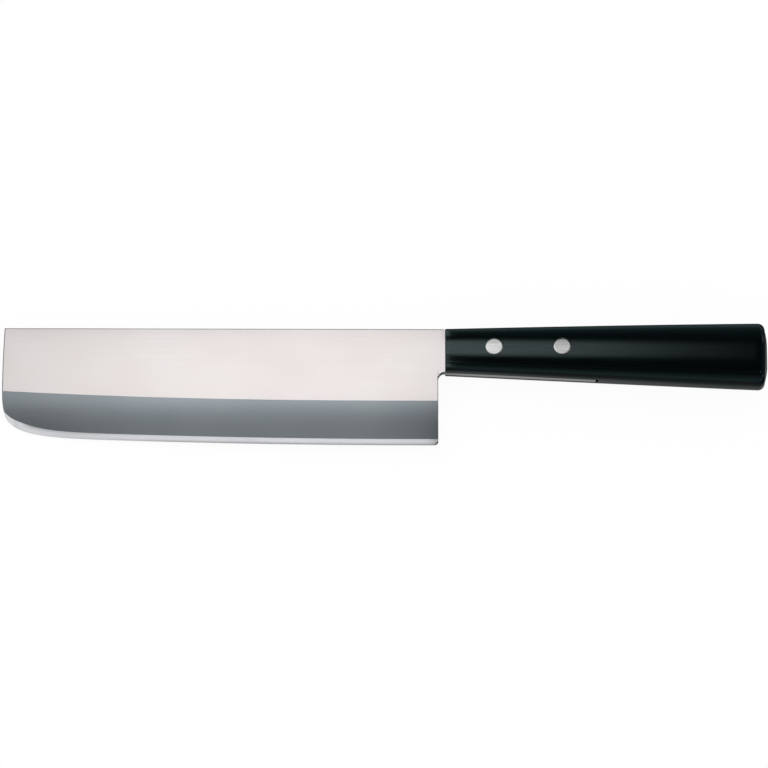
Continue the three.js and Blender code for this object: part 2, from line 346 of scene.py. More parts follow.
def lean_flag(name, levels, top_start, top_end, lean):
    """A card with levels at heights. Its top runs from point to point, and its foot stands off by lean."""
    top = levels[-1][0]
    foot = [(x + lean[0], y + lean[1], 0) for x, y in (top_end, top_start)]
    corners = [(*top_start, top), (*top_end, top), *foot]
    cloth = bpy.data.materials.new(name + " cloth")
    tree = empty_tree(cloth)
    spot = add_node(tree, "NewGeometry").outputs["Position"]
    height = add_node(tree, "SeparateXYZ", inputs={"Vector": spot}).outputs["Z"]
    level = level_over(tree, height, levels)
    glow = add_node(tree, "Emission", inputs={"Color": linear(FLAG_COLOUR), "Strength": level}).outputs[0]
    add_node(tree, "OutputMaterial", inputs={"Surface": glow})
    flag = stage_sheet(name, corners, cloth)
    flag.visible_camera = False
    flag.visible_diffuse = False
    flag.visible_shadow = False
    print("leaned the", name)


far_end = FLAG_END + FLAG_REACH
lean_flag("front flag", FRONT_LEVELS, (FLAG_START, FRONT_FLAG), (far_end, FRONT_FLAG), (0, -FLAG_REACH))
lean_flag("back flag", BACK_LEVELS, (FLAG_START, BACK_FLAG), (far_end, BACK_FLAG), (0, FLAG_REACH))
lean_flag("butt flag", BUTT_LEVELS, (FLAG_END, FRONT_FLAG), (FLAG_END, BACK_FLAG), (FLAG_REACH, 0))

# %% [markdown]
# ## The table
# The picture's ground is plain white. A white sheet of paper under this soft light would come out light
# grey, so the table glows for the rays that go straight to the camera and for the mirror rays of steel and
# gloss, and stays ordinary pale paper for all other light. In the mirrors it is a sheet that is brightest
# under the knife and dims further out, as paper does away from its lamps. A glowing sheet would lose the
# knife's shadow, so an ambient occlusion node, which feels how much of the sky over a point is covered,
# takes some of the glow away under the knife.

# %% Lay the table
PAPER_COLOUR = "f4f4f4"
TABLE_REACH = 6.0
SHADE_REACH, SHADE_SAMPLES = 0.04, 8
SHADE_SEEN = 0.06
SHEET_ACROSS = [
    (-0.3, 0.06),
    (-0.06, 0.08),
    (-0.015, 0.1),
    (-0.006, 0.16),
    (-0.001, 0.46),
    (0.008, 0.6),
    (0.02, 0.25),
    (0.04, 0.1),
    (0.1, 0.07),
    (0.3, 0.06),
]
SHEET_ALONG = [(0.0, 1.0), (0.14, 1.0), (0.16, 0.2), (0.3, 0.1)]

paper = bpy.data.materials.new("matt white paper")
tree = empty_tree(paper)
rays = add_node(tree, "LightPath").outputs
mirror_rays = {0: rays["Is Glossy Ray"], 1: rays["Is Transmission Ray"]}
mirrored = add_node(tree, "Math", {"operation": "ADD"}, mirror_rays).outputs[0]
seen = add_node(tree, "Math", {"operation": "ADD"}, {0: rays["Is Camera Ray"], 1: mirrored}).outputs[0]
occlusion = add_node(tree, "AmbientOcclusion", {"samples": SHADE_SAMPLES}, {"Distance": SHADE_REACH})
open_sky = occlusion.outputs["AO"]
spot = add_node(tree, "NewGeometry").outputs["Position"]
place = add_node(tree, "SeparateXYZ", inputs={"Vector": spot}).outputs
from_middle = add_node(tree, "Math", {"operation": "ABSOLUTE"}, {0: place["X"]}).outputs[0]
in_mirrors = open_sky
for distance, places in ((from_middle, SHEET_ALONG), (place["Y"], SHEET_ACROSS)):
    shade = level_over(tree, distance, places)
    in_mirrors = add_node(tree, "Math", {"operation": "MULTIPLY"}, {0: in_mirrors, 1: shade}).outputs[0]
to_camera = add_node(tree, "Mix", inputs={"Factor": SHADE_SEEN, "A": 1.0, "B": open_sky}).outputs[0]
level = add_node(tree, "Mix", inputs={"Factor": mirrored, "A": to_camera, "B": in_mirrors}).outputs[0]
sheet = add_node(tree, "BsdfDiffuse", inputs={"Color": linear(PAPER_COLOUR)}).outputs[0]
white = add_node(tree, "Emission", inputs={"Strength": level}).outputs[0]
mix = add_node(tree, "MixShader", inputs={0: seen, 1: sheet, 2: white})
add_node(tree, "OutputMaterial", inputs={"Surface": mix.outputs[0]})
stage_sheet("table", level_corners(-TABLE_REACH, TABLE_REACH, -TABLE_REACH, TABLE_REACH, 0), paper)
print("table lies at z = 0, as the frame's origin says")

# %% [markdown]
# ## Streaks along the knife
# Most surfaces of this knife were rubbed along its length, by a belt, a wheel, a stone or a buff, and the
# wood's own grain runs that way too. So all the finishes are one recipe with other numbers: broad patches
# that shift the colour a little, and fine lines that shift the roughness and stand up as a tiny bump. Both
# are noise, stretched along the knife. Each point's place on the level drawing steers them, so the pattern
# stays on the piece wherever the knife is laid.

# %% Streaked finishes
PLACE = "knife_mm"
PATCH_STOPS = (0.35, 0.65)
LINE_STOPS = (0.3, 0.7)


def stretched_noise(tree, along, across, detail):
    """Noise whose grains measure so many millimetres along and across the knife."""
    spot = add_node(tree, "Attribute", {"attribute_name": PLACE}).outputs["Vector"]
    scale = (1 / along, 1 / across, 1 / across)
    spot = add_node(tree, "VectorMath", {"operation": "MULTIPLY"}, {0: spot, 1: scale}).outputs[0]
    return add_node(tree, "TexNoise", inputs={"Vector": spot, "Scale": 1.0, "Detail": detail}).outputs["Fac"]


def streaked(name, patches, lines, colours, roughness, bump, shader):
    """A finish whose colours go from patch to patch, and its roughness and bump from line to line.

    Patches and lines are (length, width, detail). Lengths, widths and the bump's height are in millimetres.
    """
    material = bpy.data.materials.new(name)
    tree = empty_tree(material)
    stops = [(place, linear(colour)) for place, colour in zip(PATCH_STOPS, colours)]
    patch_noise = stretched_noise(tree, *patches)
    colour = add_node(tree, "ValToRGB", inputs={"Fac": patch_noise}, stops=stops).outputs["Color"]
    line_noise = stretched_noise(tree, *lines)
    ends = zip(("From Min", "From Max", "To Min", "To Max"), (*LINE_STOPS, *roughness))
    rough = add_node(tree, "MapRange", inputs={"Value": line_noise, **dict(ends)}).outputs[0]
    relief = {"Height": line_noise, "Distance": bump * MM, "Strength": 1.0}
    raised = add_node(tree, "Bump", inputs=relief).outputs[0]
    fed = {"Base Color": colour, "Roughness": rough, "Normal": raised}
    surface = add_node(tree, "BsdfPrincipled", inputs={**fed, **shader}).outputs[0]
    add_node(tree, "OutputMaterial", inputs={"Surface": surface})
    print("made", name)
    return material


print("patterns follow the points' attribute", PLACE)

# %% [markdown]
# ## Stainless steel, satin polished: the flat of the blade
# The blade is stainless knife steel, rolled, ground and then polished along its length with fine belts. The
# eye sees a bright, slightly warm mirror that is blurred by hair-fine lines along the blade, with faint
# clouds where the belt pressed harder. The real lines are about 0.05 mm apart, too fine to show, so they
# are drawn 0.4 mm apart. A metal keeps the default IOR: its colour is its reflection.

# %% Satin steel
# Length and width in millimetres, and the noise's detail.
CLOUDS = (45, 30, 2)
BRUSH_LENGTH, BRUSH_GAP = 70, 0.4
LINE_DETAIL = 3


def steel(name, colours, roughness, brush, bump):
    """A brushed metal with clouds, whose brush is a line's length and the gap to the next."""
    return streaked(name, CLOUDS, (*brush, LINE_DETAIL), colours, roughness, bump, {"Metallic": 1.0})


satin_steel = steel(
    "stainless steel, satin polished",
    colours=("ebe4e3", "f0eae9"),
    roughness=(0.14, 0.15),
    brush=(BRUSH_LENGTH, BRUSH_GAP),
    bump=0.0001,
)

# %% [markdown]
# ## Stainless steel, ground, with painted shade: the wide bevel
# The lower part of each side is ground thinner on a wet wheel, and left as the wheel left it. It is the
# same steel, with a coarser line than the polished flat above it, and its colour is painted darker and
# cooler: painted shade for the dimmer light that the tilted bevel reflects. Its lines are drawn coarser
# than they are, as the flat's are.

# %% Ground steel
GRIND_LENGTH, GRIND_GAP = 50, 0.6

ground_and_shaded_steel = steel(
    "stainless steel, wheel ground, painted shade",
    # Painted shade: the same steel drawn darker and cooler than the flat.
    colours=("b0b9bf", "b8c0c5"),
    roughness=(0.15, 0.18),
    brush=(GRIND_LENGTH, GRIND_GAP),
    bump=0.0004,
)

# %% [markdown]
# ## Stainless steel, honed: the cutting edge
# The last two millimetres are honed on a fine stone. Its short scratches blur the mirror only a little, so
# to the eye the strip is pale and even. They are drawn coarser than they are, as the flat's lines are.

# %% Honed steel
HONE_LENGTH, HONE_GAP = 6, 0.5

honed_steel = steel(
    "stainless steel, stone honed",
    colours=("e2e4e8", "eaecef"),
    roughness=(0.12, 0.15),
    brush=(HONE_LENGTH, HONE_GAP),
    bump=0.0004,
)

# %% [markdown]
# ## Stainless steel, blanked, with painted shade: the rim
# The blade was stamped out of a sheet. Its spine, tip end, heel and tang keep the duller surface of the
# cut, with the edges only eased on a belt. Their grey is painted darker than the steel: painted shade
# that draws a thin dark line round the bright sides. The marks of the cut are short, and drawn coarser
# than they are.

# %% Blanked steel
CUT_LENGTH, CUT_GAP = 3, 0.5

blanked_and_shaded_steel = steel(
    "stainless steel, blanked and eased, painted shade",
    # Painted shade: dark grey for the shaded rim and its eased edges.
    colours=("989a9c", "a4a6a8"),
    roughness=(0.36, 0.44),
    brush=(CUT_LENGTH, CUT_GAP),
    bump=0.001,
)

# %% [markdown]
# ## Stainless steel, ground flush: the rivets
# The rivet heads were ground down level with the wood and polished with it. To the eye they are bright
# discs, a little blurred by fine lines along the handle, which are drawn coarser than they are. The strip
# of tang that shows in the handle's belly was finished in the same stroke.

# %% Rivet steel
FLUSH_LENGTH, FLUSH_GAP = 12, 0.5

rivet_steel = steel(
    "stainless steel, ground flush",
    colours=("dcdcdc", "e4e4e3"),
    roughness=(0.12, 0.18),
    brush=(FLUSH_LENGTH, FLUSH_GAP),
    bump=0.0008,
)

# %% [markdown]
# ## Black laminated wood: the handle
# The handle is thin beech or birch leaves, soaked in black resin and pressed, then shaped, sanded and
# buffed. To the eye it is almost black and a little cool, and its grain shows only as faint streaks in the
# gloss. Phenolic resins have an IOR of about 1.6; the value here is higher, matched to the gloss in the
# picture, and a cool tint does the same for the gloss's colour. The fibres are drawn about half a
# millimetre wide, coarser than real ones, so that they show.

# %% Black wood
# Length and width in millimetres, and the noise's detail.
FIBRES = (28, 0.55, 4)
LEAVES = (90, 2.2, 2)
WOOD_IOR = 1.75
GLOSS_TINT = "e0feff"

black_wood = streaked(
    "laminated wood, black resin, buffed",
    patches=LEAVES,
    lines=FIBRES,
    colours=("010607", "030a0b"),
    roughness=(0.14, 0.19),
    bump=0.0015,
    shader={"IOR": WOOD_IOR, "Specular Tint": linear(GLOSS_TINT)},
)

# %% [markdown]
# ## From a drawing to a piece
# Each mesh is drawn level, in millimetres, on the knife's own axes. This function turns it into a piece: it
# bakes its modifiers into the mesh, notes every point's drawn place for the patterns above, and then lays
# the mesh down where the frame's knife lies. The piece rides on the frame's one body and stands for one of
# that body's plain solids.

# %% Lay a piece down
def finish_piece(drawn, node):
    """Bakes a drawn object's modifiers, lays it down and lets it stand for a node of the frame."""
    graph = bpy.context.evaluated_depsgraph_get()
    mesh = bpy.data.meshes.new_from_object(drawn.evaluated_get(graph))
    drawn.modifiers.clear()
    drawn.data = mesh
    places = np.empty(3 * len(mesh.vertices), np.float32)
    mesh.vertices.foreach_get("co", places)
    mesh.attributes.new(PLACE, "FLOAT_VECTOR", "POINT").data.foreach_set("vector", places)
    mesh.transform(laid_down @ Matrix.Scale(MM, 4))
    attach(drawn, "root")
    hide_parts(node)
    print(f"{drawn.name}: {len(mesh.polygons)} faces")


def drawn_object(name, bm, *materials):
    """A new object on the drawing, with smooth faces."""
    mesh = bpy.data.meshes.new(name)
    for face in bm.faces:
        face.smooth = True
    bm.to_mesh(mesh)
    bm.free()
    for material in materials:
        mesh.materials.append(material)
    drawn = bpy.data.objects.new(name, mesh)
    scene.collection.objects.link(drawn)
    return drawn


print("the drawing's origin goes to", [round(value / MM, 1) for value in laid_down.translation], "mm")

# %% [markdown]
# ## The lines of the handle
# The handle's top and belly lines spread apart towards the butt, ever more slowly, and its section is a
# rounded rectangle. Both are formulas: a power curve for the lines, and a superellipse, which is a circle
# whose powers are raised so that its sides flatten, for the section. The sides are flattest at the blade
# and get rounder towards the butt, where the hand closes. The tang's lower edge follows the same belly
# line.

# %% Handle lines
HANDLE_LENGTH = 122.1
HANDLE_TOP, HANDLE_TOP_RISE, TOP_POWER = -0.5, 2.15, 1.35
HANDLE_BELLY, HANDLE_BELLY_DROP, BELLY_POWER = -17.5, 5.85, 1.05
FRONT_THICKNESS, BUTT_THICKNESS = 14, 17.5
FRONT_CROWN, BUTT_CROWN, BELLY_FLATNESS = 4, 2.6, 3.2


def levelling_out(x, power):
    """0 at the front of the handle and 1 at the butt, reached ever more slowly if the power is above 1."""
    return 1 - (1 - np.clip(x / HANDLE_LENGTH, 0, 1)) ** power


def handle_top(x):
    return HANDLE_TOP + HANDLE_TOP_RISE * levelling_out(x, TOP_POWER)


def handle_belly(x):
    return HANDLE_BELLY - HANDLE_BELLY_DROP * levelling_out(x, BELLY_POWER)


def handle_middle(x):
    return (handle_top(x) + handle_belly(x)) / 2


def handle_half_height(x):
    return (handle_top(x) - handle_belly(x)) / 2


def handle_half_thickness(x):
    return (FRONT_THICKNESS + (BUTT_THICKNESS - FRONT_THICKNESS) * x / HANDLE_LENGTH) / 2


def side_crown(x):
    return FRONT_CROWN + (BUTT_CROWN - FRONT_CROWN) * x / HANDLE_LENGTH


print(f"handle is {handle_top(0) - handle_belly(0):.1f} mm tall at the front")

# %% [markdown]
# ## Curves for the blade
# Seen from the side, the blade is a few curves: the nearly square tip end, the sweep up to it, the long
# edge with very little belly, and the small rounded heel. They could be drawn as rows of points, but Bezier
# curves need only the corners that steer them, and arcs only a middle and a radius.

# %% Curves
def bezier(corners, count):
    """Points along the Bezier curve that these corners steer."""
    share = np.linspace(0, 1, count)[:, None]
    last = len(corners) - 1
    return sum(
        math.comb(last, i) * (1 - share) ** (last - i) * share**i * np.array(corner, float)
        for i, corner in enumerate(corners)
    )


def arc(middle, radius, start, end, count):
    """Points along an arc, with its angles in degrees."""
    angle = np.radians(np.linspace(start, end, count))
    return np.array(middle) + radius * np.column_stack([np.cos(angle), np.sin(angle)])


def walk(line, shares):
    """Points at these shares of a line's length."""
    run = np.concatenate([[0], np.cumsum(np.linalg.norm(np.diff(line, axis=0), axis=1))])
    return np.column_stack([np.interp(shares, run / run[-1], line[:, k]) for k in (0, 1)])


print("halfway along a quarter circle:", walk(arc((0, 0), 1, 0, 90, 91), [0.5]).round(3))

# %% [markdown]
# ## The lines of the blade
# The outline joins those curves, from the top of the tip round to the heel. Inside it run two more lines:
# where the flat turns into the ground bevel, which climbs towards the tip, and where the honed edge begins.

# %% Blade lines
HEEL, TIP = -2.6, -167.6
HEEL_HEIGHT, HEEL_CORNER = 45.8, 1.5
TIP_LEAN, TIP_STRAIGHT, TIP_FULLNESS = 0.6, 22, 17
SWEEP_LENGTH, SWEEP_RISE, SWEEP_FULLNESS = 38, 2.2, 36.8
BEVEL_HEIGHT, BEVEL_RISE, BEVEL_CAMBER = 17.3, 3.9, 2.4
SHOULDER_GAP = 0.1
TIP_POINTS, SWEEP_POINTS, EDGE_POINTS, HEEL_POINTS = 220, 500, 300, 24


def spine(x):
    """Height of the spine, which rises in a straight line from the handle to the tip."""
    return SPINE_RISE * (x + SHOULDER_GAP) / (TIP + TIP_LEAN + SHOULDER_GAP)


def flat_depth(x):
    """Depth at which the ground bevel starts."""
    share = np.clip((HEEL - x) / (HEEL - TIP), 0, 1)
    return HEEL_HEIGHT - BEVEL_HEIGHT - BEVEL_RISE * share**BEVEL_CAMBER


sweep_start = np.array([TIP + SWEEP_LENGTH, SWEEP_RISE - HEEL_HEIGHT])
edge_end = np.array([HEEL - HEEL_CORNER, -HEEL_HEIGHT])
edge_middle = np.array([(sweep_start[0] + edge_end[0]) / 2, -HEEL_HEIGHT])
heading = (sweep_start - edge_middle) / np.linalg.norm(sweep_start - edge_middle)
tip_corners = [(TIP + TIP_LEAN, SPINE_RISE), (TIP, -TIP_STRAIGHT / 2), (TIP, -TIP_STRAIGHT)]
sweep_corners = [
    (TIP, -TIP_STRAIGHT),
    (TIP, -TIP_STRAIGHT - TIP_FULLNESS),
    sweep_start + SWEEP_FULLNESS * heading,
    sweep_start,
]
outline = np.vstack(
    [
        bezier(tip_corners, TIP_POINTS)[:-1],
        bezier(sweep_corners, SWEEP_POINTS)[:-1],
        bezier([sweep_start, edge_middle, edge_end], EDGE_POINTS)[:-1],
        arc(edge_end + (0, HEEL_CORNER), HEEL_CORNER, -90, 0, HEEL_POINTS),
    ]
)
print(f"outline of {len(outline)} points, {outline[:, 0].max() - outline[:, 0].min():.1f} mm long")

# %% [markdown]
# ## The near side of the blade, as a sheet
# A boolean cut would give the bevels too, but it leaves long thin faces that shade badly on a mirror. So
# the side is laid out as patches of neat squares between the lines: two on the flat, and one each on the
# ground bevel, the honed edge, the neck and the tang. A patch runs from a top line to a bottom line, and on
# the blade its first column is bent to follow the tip.

# %% Lay out the patches
NECK_HEIGHT, CHOIL = 17.45, 2.4
EDGE_RUN_OUT = 13.1


def near_tip(x):
    """1 at the tip, fading to 0 where the sweep of the edge starts."""
    return np.clip(1 - (x - x[0]) / SWEEP_LENGTH, 0, 1)


def line_over(columns, start, height):
    """A line over these columns that begins at the point start on the outline."""
    level = np.column_stack([columns, height(columns)])
    return level + near_tip(columns)[:, None] * (start - level[0])


def patch(top, bottom, left, rows):
    """Rows of points from a top line to a bottom line, bent at the tip to follow the left line."""
    rows = np.asarray(rows)
    sheet = top + rows[:, None, None] * (bottom - top)
    bend = walk(left, rows) - sheet[:, 0]
    return sheet + bend[:, None] * near_tip(top[:, 0])[:, None]


choil_level = -NECK_HEIGHT - CHOIL
cut_choil = np.argmax(outline[:, 1] <= choil_level)
cut_bevel = np.argmax(-outline[:, 1] >= flat_depth(outline[:, 0]))
cut_edge = np.argmax(outline[:, 1] <= EDGE_RUN_OUT - HEEL_HEIGHT)
cuts = [round(float(outline[i, 1]), 1) for i in (cut_choil, cut_bevel, cut_edge)]
print("the tip end is divided at", cuts)

# %% [markdown]
# The honed edge is a strip along the outline that swells a little where the edge sweeps up to the tip and
# then dies away, so its upper line is the outline moved inwards by the strip's width there. The lines above
# it use the same columns.

# %% Columns of the blade
EDGE_WIDTH = 2.3
# Millimetres that the edge has climbed, and the share of its full width that the honed strip has there.
HONED_SHARES = [
    (2.2, 1),
    (3.3, 1.04),
    (4.3, 1.13),
    (5.2, 1.18),
    (6.2, 1.14),
    (7.3, 1.03),
    (9.2, 0.74),
    (11.7, 0.28),
    (EDGE_RUN_OUT, 0),
]
SWEEP_SHARE, CORNER_SHARE = 0.2, 0.978
SWEEP_COLUMNS, EDGE_COLUMNS, CORNER_COLUMNS = 60, 70, 16

columns_of_edge = np.concatenate(
    [
        np.linspace(0, SWEEP_SHARE, SWEEP_COLUMNS)[:-1],
        np.linspace(SWEEP_SHARE, CORNER_SHARE, EDGE_COLUMNS)[:-1],
        np.linspace(CORNER_SHARE, 1, CORNER_COLUMNS),
    ]
)
feet = walk(outline[cut_edge:], columns_of_edge)
honed_share = np.interp(HEEL_HEIGHT + feet[:, 1], *zip(*HONED_SHARES))
along = np.gradient(feet, axis=0)
inwards = np.column_stack([-along[:, 1], along[:, 0]]) / np.linalg.norm(along, axis=1)[:, None]
honed_line = feet + inwards * (EDGE_WIDTH * honed_share)[:, None]
in_corner = feet[:, 0] > edge_end[0]
corner_level = np.full(in_corner.sum(), EDGE_WIDTH - HEEL_HEIGHT)
honed_line[in_corner] = np.column_stack([feet[in_corner, 0], corner_level])
bevel_line = line_over(honed_line[:, 0], outline[cut_bevel], lambda x: -flat_depth(x))
choil_line = line_over(bevel_line[:, 0], outline[cut_choil], lambda x: np.full_like(x, choil_level))
spine_line = line_over(choil_line[:, 0], outline[0], spine)
print(len(feet), "columns along the blade")

# %% [markdown]
# Behind the heel the blade narrows to the neck, with a rounded inside corner called the choil, and runs on
# into the tang, which lies lower than the spine. The tang's columns and rows are spaced so that a square
# block of them surrounds each rivet hole.

# %% Neck and tang
TANG_TOP, TANG_LENGTH = 4, 57
RIVET_PLACES = {"front": 18.6, "rear": 44.3}
HOLE_BLOCK, HOLE_STEPS = 3.2, 6
HOLE_TOP, HOLE_BOTTOM, LOWEST_ROW = 0.12, 0.52, 0.76
SPINE_ROWS = [0, 0.03, 0.08, 0.14]
CHOIL_POINTS = 10

tang_rows = np.concatenate([[0], np.linspace(HOLE_TOP, HOLE_BOTTOM, HOLE_STEPS + 1), [LOWEST_ROW, 1]])
shoulder_share = TANG_TOP / NECK_HEIGHT
upper_rows = np.concatenate([SPINE_ROWS, shoulder_share + (1 - shoulder_share) * tang_rows])

turn_of_choil = arc((HEEL + CHOIL, choil_level), CHOIL, 180, 90, CHOIL_POINTS)
neck_line = np.vstack([turn_of_choil, [(-SHOULDER_GAP, -NECK_HEIGHT)]])
neck_top = np.column_stack([neck_line[:, 0], spine(neck_line[:, 0])])
stretches = [0]
for x in RIVET_PLACES.values():
    stretches += [x - HOLE_BLOCK, x + HOLE_BLOCK]
stretches.append(TANG_LENGTH)
steps = [np.linspace(a, b, HOLE_STEPS, endpoint=False) for a, b in zip(stretches, stretches[1:])]
tang_columns = np.concatenate([[-SHOULDER_GAP], *steps, [TANG_LENGTH]])
tang_top = np.column_stack([tang_columns, np.full_like(tang_columns, -TANG_TOP)])
tang_line = np.column_stack([tang_columns, handle_belly(tang_columns)])
tang_line[0] = neck_line[-1]
print(len(tang_columns), "columns along the tang")

# %% [markdown]
# ## How thick the steel is
# The flat lies half the sheet's thickness above the middle. The ground bevel thins it towards the edge, and
# it is not quite flat: it falls away a little faster towards the edge, as a soft wheel leaves it, which
# spreads its reflection into a gradient. Polishing also rounds the flat off very slightly along the spine
# and the tip.

# %% Thickness of the steel
HALF_STEEL = 1.25
EDGE_HALF = 0.06
EDGE_ANGLE = math.radians(10)
EDGE_ROUNDING = 0.035
BEVEL_ROUNDING = 0.28
POLISH_REACH, POLISH_DROP = 5.0, 0.008

shoulder_half = EDGE_HALF + EDGE_WIDTH * math.tan(EDGE_ANGLE)
bevel_depth = BEVEL_HEIGHT - EDGE_WIDTH
bevel_slope = (HALF_STEEL - shoulder_half) / bevel_depth


def half_thickness(points):
    """Half the steel's thickness at these points of the flat or the ground bevel."""
    x, y = points[..., 0], points[..., 1]
    below = np.maximum(0, -y - flat_depth(x))
    ground = bevel_slope * below * (1 + BEVEL_ROUNDING * (below / bevel_depth - 1))
    from_tip = x - TIP - TIP_LEAN * np.maximum(0, 1 + y / TIP_STRAIGHT) ** 2
    from_rim = np.minimum(spine(x) - y, from_tip)
    polished = POLISH_DROP * np.clip(1 - from_rim / POLISH_REACH, 0, 1) ** 2
    return HALF_STEEL - ground - polished


bevel_angle = math.degrees(math.atan(bevel_slope))
print(f"the bevel is {bevel_angle:.1f} degrees, {2 * shoulder_half:.2f} mm thick above the edge")

# %% [markdown]
# ## Two tools for sewing
# A sheet of points becomes faces square by square, and each face notes its finish. Squares can be left out.
# Where a block of them is left out of the tang, a ring of faces goes from the block's border to a round
# hole, which is neater than a hole cut by a boolean.

# %% Faces and holes
FLAT, GROUND, HONED, RIM, BUFFED = range(5)
HOLE_RADIUS = 2.3


def lay_faces(bm, grid, half, finish, holes=()):
    """Adds a patch of points with their half thickness, but for the squares (row, column) in holes."""
    rows, columns = half.shape
    points = [[bm.verts.new((*grid[r, c], half[r, c])) for c in range(columns)] for r in range(rows)]
    for r in range(rows - 1):
        for c in range(columns - 1):
            if (r, c) not in holes:
                square = (points[r][c], points[r + 1][c], points[r + 1][c + 1], points[r][c + 1])
                bm.faces.new(square).material_index = finish
    return points


def drill(bm, points, first_row, last_row, first_column, last_column, middle):
    """Fills the block of squares that was left out with a ring round a hole."""
    down = [(r, first_column) for r in range(first_row, last_row)]
    right = [(last_row, c) for c in range(first_column, last_column)]
    up = [(r, last_column) for r in range(last_row, first_row, -1)]
    left = [(first_row, c) for c in range(last_column, first_column, -1)]
    outer = [points[r][c] for r, c in down + right + up + left]
    inner = []
    for corner in outer:
        away = (corner.co.xy - middle).normalized() * HOLE_RADIUS
        inner.append(bm.verts.new((*(middle + away), corner.co.z)))
    for i in range(len(outer)):
        bm.faces.new((outer[i - 1], outer[i], inner[i], inner[i - 1])).material_index = FLAT


print("holes of", 2 * HOLE_RADIUS, "mm for the rivets")

# %% [markdown]
# ## Sew the near side
# Now each patch becomes faces, and points that lie on each other are merged. The honed strip gets its own
# thickness: it falls from the bevel to the edge, with a slight swell between, as a hand-held stone leaves
# it. Where the strip is only a share of its width, it falls by that share.

# %% Sew the near side
WELD = 1e-4
RIVET_DEPTH = 8.8
FLAT_ROWS, BEVEL_ROWS, HONED_ROWS = 6, 11, 5

sheet = bmesh.new()
weight = sheet.edges.layers.float.new("bevel_weight_edge")
flat_upper = patch(spine_line, choil_line, outline[: cut_choil + 1], upper_rows)
flat_rows = np.linspace(0, 1, FLAT_ROWS)
flat_lower = patch(choil_line, bevel_line, outline[cut_choil : cut_bevel + 1], flat_rows)
bevel_rows = np.linspace(0, 1, BEVEL_ROWS)
bevel = patch(bevel_line, honed_line, outline[cut_bevel : cut_edge + 1], bevel_rows)
neck = neck_top + upper_rows[:, None, None] * (neck_line - neck_top)
tang = tang_top + tang_rows[:, None, None] * (tang_line - tang_top)
down = np.linspace(0, 1, HONED_ROWS)[:, None]
honed = honed_line + down[:, None] * (feet - honed_line)
shoulder = half_thickness(honed_line)
full_fall = half_thickness(feet + inwards * EDGE_WIDTH) - EDGE_HALF
edge_half = shoulder - np.minimum(honed_share, 1) * full_fall
edge_half[in_corner] = EDGE_HALF + (HEEL_HEIGHT + feet[in_corner, 1]) * math.tan(EDGE_ANGLE)
swell = EDGE_ROUNDING * EDGE_WIDTH * honed_share * down * (1 - down)
honed_half = shoulder + down * (edge_half - shoulder) + swell

for grid in (flat_upper, flat_lower, neck):
    lay_faces(sheet, grid, half_thickness(grid), FLAT)
lay_faces(sheet, bevel, half_thickness(bevel), GROUND)
lay_faces(sheet, honed, honed_half, HONED)
hole_rows = (1, 1 + HOLE_STEPS)
# The second and the fourth stretch of the tang hold the rivets.
hole_columns = [(1 + HOLE_STEPS * i, 1 + HOLE_STEPS * (i + 1)) for i in (1, 3)]
left_out = [(r, c) for a, b in hole_columns for c in range(a, b) for r in range(*hole_rows)]
points = lay_faces(sheet, tang, half_thickness(tang), FLAT, set(left_out))
for (a, b), x in zip(hole_columns, RIVET_PLACES.values()):
    drill(sheet, points, *hole_rows, a, b, Vector((x, -RIVET_DEPTH)))
bmesh.ops.remove_doubles(sheet, verts=sheet.verts, dist=WELD)
bmesh.ops.dissolve_degenerate(sheet, dist=WELD, edges=sheet.edges)
print("near side:", len(sheet.faces), "faces")

# %% [markdown]
# ## Close the blade
# The far side is the same sheet mirrored, and a wall closes the gap all round, through the rivet holes too.
# The loop over the rim's edges builds one wall face for each. Where the tang shows in the belly of the
# handle, the wall was ground flush together with the wood and the rivets, so it is bright and sharp. Edges
# where two finishes meet stay sharp. The rim gets a bevel weight that fades out where the steel gets thin,
# so that one bevel modifier rounds the spine, the tip and the heel but leaves the cutting edge alone.

# %% Close the blade
EASED, EASED_STEPS = 0.35, 3
# Half thickness of the steel at which the easing of the rim starts, and at which it is full.
THIN, THICK = 0.8, 1.15

near_faces = list(sheet.faces)
rim = [edge for edge in sheet.edges if edge.is_boundary]
far = {v: sheet.verts.new((v.co.x, v.co.y, -v.co.z)) for v in list(sheet.verts)}
for face in near_faces:
    twin = sheet.faces.new([far[v] for v in reversed(face.verts)])
    twin.material_index = face.material_index
for edge in rim:
    loop = edge.link_loops[0]
    a, b = loop.vert, loop.link_loop_next.vert
    wall = sheet.faces.new((b, a, far[a], far[b]))
    in_belly = max(a.co.x, b.co.x) > 0 and max(a.co.y, b.co.y) < -NECK_HEIGHT
    wall.material_index = BUFFED if in_belly else RIM
    hidden = min(a.co.x, b.co.x) > HEEL / 2 and max(a.co.y, b.co.y) > -NECK_HEIGHT / 2
    left_sharp = hidden or in_belly or loop.face.material_index == HONED
    thick = 0 if left_sharp else (a.co.z + b.co.z) / 2
    share = min(max((thick - THIN) / (THICK - THIN), 0), 1)
    # The weight follows a smooth step from sharp to eased.
    for side in (edge, sheet.edges.get((far[a], far[b]))):
        side[weight] = share * share * (3 - 2 * share)
        side.smooth = share > 0
for edge in sheet.edges:
    if len({face.material_index for face in edge.link_faces}) > 1:
        edge.smooth = False

blade = drawn_object("fine_blade", sheet, satin_steel, ground_and_shaded_steel, honed_steel, blanked_and_shaded_steel, rivet_steel)
eased = blade.modifiers.new("eased edges", "BEVEL")
eased.limit_method = "WEIGHT"
eased.width = EASED
eased.segments = EASED_STEPS
eased.use_clamp_overlap = False
eased.harden_normals = True
# The eased rounding takes the rim's finish, and with it the painted shade of the dark outline.
eased.material = RIM
finish_piece(blade, "blade")

# %% [markdown]
# ## The handle
# The handle's outside is a loft: rings of points, one behind the other, with small rings at both ends to
# round them. A subdivided box would need guesswork to reach the same lines.

# %% Loft the handle
SECTION_POINTS, FINE_POINTS = 128, 2049
FRONT_ROUND, BUTT_ROUND, BUTT_DOME = 0.4, 2.6, 0.95
ROUND_STEPS, BODY_RINGS = 8, 64
DOME_RINGS, DOME_SHARE = 10, 0.95


